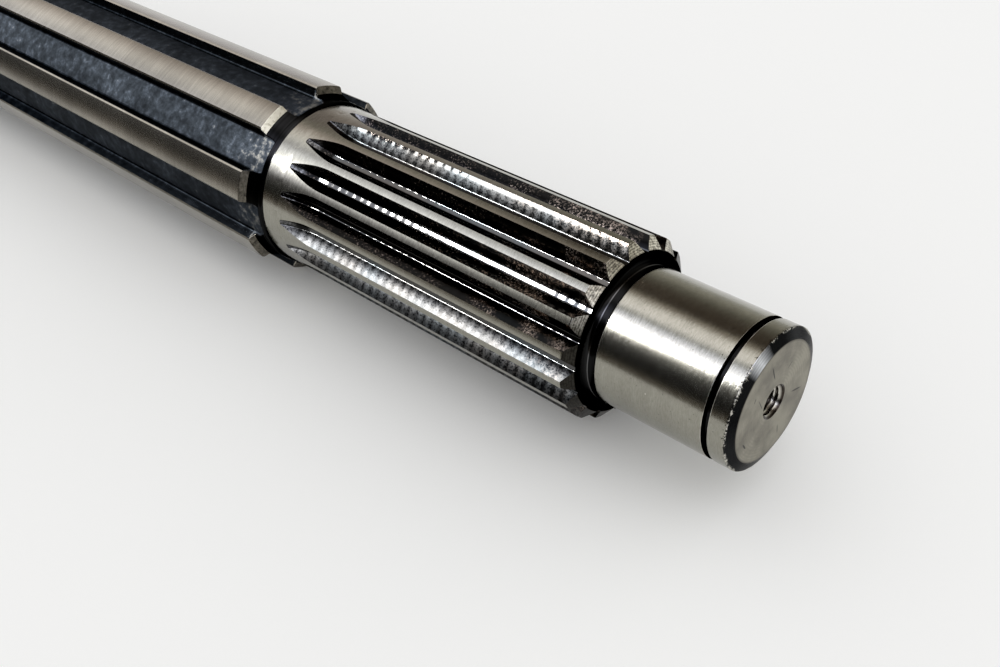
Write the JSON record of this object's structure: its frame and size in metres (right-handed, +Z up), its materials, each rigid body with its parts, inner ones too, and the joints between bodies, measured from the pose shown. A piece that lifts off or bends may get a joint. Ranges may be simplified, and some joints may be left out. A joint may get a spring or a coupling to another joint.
{
  "type": "splined shaft",
  "caption": "Steel transmission shaft: tapped end, ground bearing journal with a retaining-ring groove, fine involute spline, shoulder and straight-sided coarse spline.",
  "frame": {"origin": "centre of the tapped end's face, on the shaft's axis", "axes": "+X along the axis, out of the tapped end; +Z up as the shaft lies on two teeth of its coarse spline; +Y across"},
  "size_m": [0.43, 0.0556, 0.0556],
  "materials": {
    "steel": "ground journals and tooth tips, oily hobbed grooves"
  },
  "bodies": {
    "root": {"splined_shaft": "steel"}
  },
  "joints": []
}
